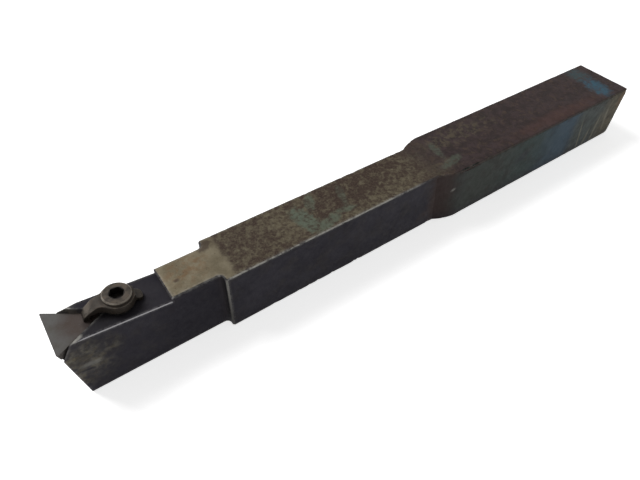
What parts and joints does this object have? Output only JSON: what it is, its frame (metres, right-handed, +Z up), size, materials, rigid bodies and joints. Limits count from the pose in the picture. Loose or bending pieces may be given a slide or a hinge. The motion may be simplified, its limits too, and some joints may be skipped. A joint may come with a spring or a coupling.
{
  "type": "turning tool holder",
  "caption": "Forged steel turning tool holder: a stepped square shank with a slim raked head, a triangular clamped insert on a seat, and a finger clamp with its screw.",
  "frame": {"origin": "under the middle of the whole length, in the flat bottom face of the shank", "axes": "+X runs along the shank from the cutting edge to the rear end, +Y across the shank, +Z up from the bottom face to the deck of the head"},
  "size_m": [0.333, 0.0342, 0.0379],
  "materials": {
    "forged_steel": "dark forged steel with mill scale, rust bloom and worn ground faces",
    "seat_carbide": "dull sintered carbide",
    "insert_carbide": "matt grey sintered carbide",
    "clamp_steel": "dull oxidised steel",
    "screw_steel": "dull oxidised steel",
    "spring_steel": "drawn spring wire"
  },
  "bodies": {
    "holder": {"holder_body": "forged_steel", "seat": "seat_carbide", "seat_screw": "screw_steel", "insert": "insert_carbide"},
    "clamp": {"clamp": "clamp_steel", "clamp_spring": "spring_steel"},
    "screw": {"clamp_screw": "screw_steel"}
  },
  "joints": [
    {"name": "clamp_lift", "type": "slide", "parent": "holder", "child": "clamp", "axis": [0.1045, 0, 0.9945], "range_m": [0, 0.003], "deforming": ["clamp_spring"]},
    {"name": "screw_turn", "type": "hinge", "parent": "clamp", "child": "screw", "pos_m": [-0.14063, 0.0008, 0.03149], "axis": [0.1045, 0, 0.9945], "range_deg": [0, 1080]}
  ],
  "couplings": [
    {"joint": "screw_turn", "follows": "clamp_lift", "rad_per_m": 6283.2}
  ]
}
